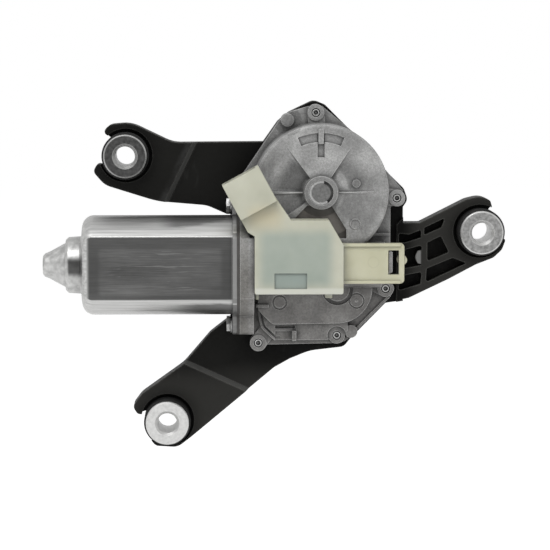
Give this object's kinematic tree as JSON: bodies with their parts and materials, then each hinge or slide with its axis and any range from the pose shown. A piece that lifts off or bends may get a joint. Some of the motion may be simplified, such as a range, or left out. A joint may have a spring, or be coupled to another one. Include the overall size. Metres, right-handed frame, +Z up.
{
  "type": "wiper motor",
  "caption": "Rear wiper gear motor with a cast gear housing, worm drive, crank and sector, output spindle and a three-armed plastic carrier on rubber bushes.",
  "frame": {"origin": "on the axis of the output spindle, in the mounting plane where the far ends of the three sleeves rest", "axes": "+X right along the motor away from its can, +Z up, both as seen from the cabin side; +Y along the output spindle towards its threaded end"},
  "size_m": [0.1992, 0.085, 0.1503],
  "materials": {
    "cast_aluminium": "as cast, fine grain",
    "carrier_plastic": "black glass-filled nylon, satin",
    "can_steel": "zinc plated, drawn",
    "magnet": "sintered, matt",
    "bronze": "sintered, matt",
    "brown_resin": "moulded, matt",
    "carbon": "pressed carbon, matt",
    "spring_steel": "bright",
    "shaft_steel": "ground",
    "core_steel": "stacked sheet, matt",
    "copper": "lacquered",
    "gear_nylon": "moulded, greased",
    "zinc_steel": "bright zinc",
    "sleeve_steel": "turned, dull",
    "sleeve_zinc": "pale zinc",
    "rubber": "moulded, matt",
    "ivory_nylon": "moulded, satin",
    "terminal": "tinned"
  },
  "bodies": {
    "housing": {"gear_housing": "cast_aluminium", "carrier": "carrier_plastic", "motor_can": "can_steel", "field_magnets": "magnet", "nose_bearing": "bronze", "front_bearing": "bronze", "end_bearing": "bronze", "thrust_disc": "brown_resin", "brush_plate": "brown_resin", "brushes": "carbon", "brush_springs": "spring_steel", "wheel_axle": "shaft_steel", "axle_clip": "spring_steel", "spindle_guide": "zinc_steel", "spindle_bushes": "bronze", "spindle_seal": "rubber", "housing_screws": "zinc_steel", "can_screws": "zinc_steel", "connector_housing": "ivory_nylon", "contact_springs": "spring_steel", "socket_terminals": "terminal", "mount_sleeve_upper": "sleeve_steel", "mount_sleeve_lower": "sleeve_zinc", "mount_sleeve_right": "sleeve_steel", "bush_rubber_upper": "rubber", "bush_rubber_lower": "rubber", "bush_rubber_right": "rubber"},
    "armature": {"armature_shaft": "shaft_steel", "armature_core": "core_steel", "armature_windings": "copper", "commutator": "copper"},
    "worm_wheel": {"worm_wheel": "gear_nylon", "contact_disc": "copper"},
    "output_shaft": {"output_spindle": "shaft_steel", "output_pinion": "shaft_steel", "spindle_washer": "zinc_steel", "spindle_circlip": "spring_steel"},
    "rocker": {"rocker_link": "shaft_steel", "rocker_pin": "shaft_steel"},
    "sector": {"sector_gear": "shaft_steel", "crank_pin": "shaft_steel"}
  },
  "joints": [
    {"name": "armature_spin", "type": "hinge", "parent": "housing", "child": "armature", "pos_m": [-0.06, -0.0205, 0.0108], "axis": [1, 0, 0], "continuous": true},
    {"name": "wheel_spin", "type": "hinge", "parent": "housing", "child": "worm_wheel", "pos_m": [-0.0076, -0.0206, 0.0422], "axis": [0, 1, 0], "continuous": true},
    {"name": "spindle_swing", "type": "hinge", "parent": "housing", "child": "output_shaft", "pos_m": [0, 0, 0], "axis": [0, -1, 0], "range_deg": [0, 102.3]},
    {"name": "rocker_swing", "type": "hinge", "parent": "housing", "child": "rocker", "pos_m": [0, 0, 0], "axis": [0, -1, 0], "range_deg": [0, 56.71]},
    {"name": "sector_turn", "type": "hinge", "parent": "rocker", "child": "sector", "pos_m": [-0.02055, -0.011, 0.00541], "axis": [0, -1, 0], "range_deg": [-45.6, 0]}
  ],
  "couplings": [
    {"joint": "wheel_spin", "follows": "armature_spin", "ratio": 0.019231},
    {"joint": "rocker_swing", "follows": "spindle_swing", "ratio": 0.55434},
    {"joint": "sector_turn", "follows": "spindle_swing", "ratio": -0.44566}
  ]
}
